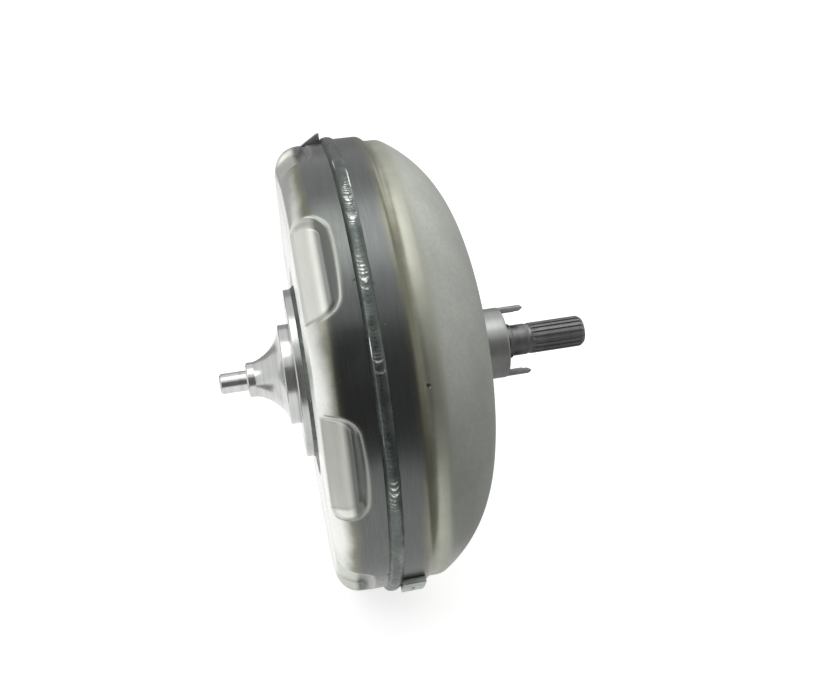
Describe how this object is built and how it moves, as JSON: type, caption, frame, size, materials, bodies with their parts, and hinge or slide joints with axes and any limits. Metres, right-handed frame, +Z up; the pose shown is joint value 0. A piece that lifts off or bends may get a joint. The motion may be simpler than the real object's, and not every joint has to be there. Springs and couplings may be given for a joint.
{
  "type": "torque converter",
  "caption": "Hydraulic torque converter: welded dish-shaped housing with a nose pilot and drive ring in front, a lugged pump hub and a splined turbine shaft behind.",
  "frame": {"origin": "centre of the drive ring's mounting face, where the shaft line crosses it", "axes": "+X along the shaft line from the crank side to the transmission side, +Z up"},
  "size_m": [0.2572, 0.309, 0.3097],
  "materials": {
    "cover_steel": "pressed steel, satin with bright edges",
    "shell_steel": "blasted steel bowl with a blued band beside the weld",
    "turned_steel": "bright turned steel",
    "weld_steel": "rough weld metal",
    "hub_steel": "satin turned steel",
    "shaft_steel": "dark hardened steel",
    "weight_steel": "plain steel plate",
    "blade_steel": "pressed steel, brazed",
    "bearing_steel": "ground bearing steel",
    "spring_steel": "dark spring steel",
    "bronze": "plain bronze",
    "stator_aluminium": "die-cast aluminium"
  },
  "bodies": {
    "housing": {"front_cover": "cover_steel", "drive_ring": "turned_steel", "crank_pilot": "turned_steel", "pilot_weld": "weld_steel", "pilot_bush": "bronze", "rim_weld": "weld_steel", "impeller_shell": "shell_steel", "impeller_blades": "blade_steel", "impeller_core_ring": "blade_steel", "pump_hub": "hub_steel", "hub_weld": "weld_steel", "balance_weight": "weight_steel", "balance_clip": "weight_steel", "front_bearing_race_cover": "bearing_steel", "rear_bearing_race_hub": "bearing_steel"},
    "turbine": {"turbine_shell": "blade_steel", "turbine_blades": "blade_steel", "turbine_core_ring": "blade_steel", "turbine_hub": "hub_steel", "turbine_rivets": "spring_steel", "turbine_shaft": "shaft_steel", "shaft_retaining_ring": "spring_steel", "shaft_seal_ring": "spring_steel", "front_bearing_race_turbine": "bearing_steel", "middle_bearing_race_turbine": "bearing_steel"},
    "stator": {"stator_wheel": "stator_aluminium", "clutch_outer_race": "bearing_steel", "clutch_rollers": "bearing_steel", "clutch_springs": "spring_steel", "clutch_side_plates": "bronze", "stator_retaining_rings": "spring_steel", "middle_bearing_race_stator": "bearing_steel", "rear_bearing_race_stator": "bearing_steel"},
    "clutch_race": {"clutch_inner_race": "bearing_steel"},
    "front_cage": {"front_bearing_cage": "bronze", "front_bearing_needles": "bearing_steel"},
    "middle_cage": {"middle_bearing_cage": "bronze", "middle_bearing_needles": "bearing_steel"},
    "rear_cage": {"rear_bearing_cage": "bronze", "rear_bearing_needles": "bearing_steel"}
  },
  "joints": [
    {"name": "turbine_spin", "type": "hinge", "parent": "housing", "child": "turbine", "pos_m": [0.0684, 0, 0], "axis": [1, 0, 0], "continuous": true},
    {"name": "stator_spin", "type": "hinge", "parent": "housing", "child": "stator", "pos_m": [0.0684, 0, 0], "axis": [1, 0, 0], "continuous": true},
    {"name": "clutch_freewheel", "type": "hinge", "parent": "stator", "child": "clutch_race", "pos_m": [0.0684, 0, 0], "axis": [1, 0, 0], "continuous": true},
    {"name": "front_cage_spin", "type": "hinge", "parent": "housing", "child": "front_cage", "pos_m": [0.0684, 0, 0], "axis": [1, 0, 0], "continuous": true},
    {"name": "rear_cage_spin", "type": "hinge", "parent": "housing", "child": "rear_cage", "pos_m": [0.0684, 0, 0], "axis": [1, 0, 0], "continuous": true},
    {"name": "middle_cage_spin", "type": "hinge", "parent": "turbine", "child": "middle_cage", "pos_m": [0.0684, 0, 0], "axis": [1, 0, 0], "continuous": true}
  ],
  "couplings": [
    {"joint": "front_cage_spin", "follows": "turbine_spin", "ratio": 0.5},
    {"joint": "rear_cage_spin", "follows": "stator_spin", "ratio": 0.5}
  ]
}
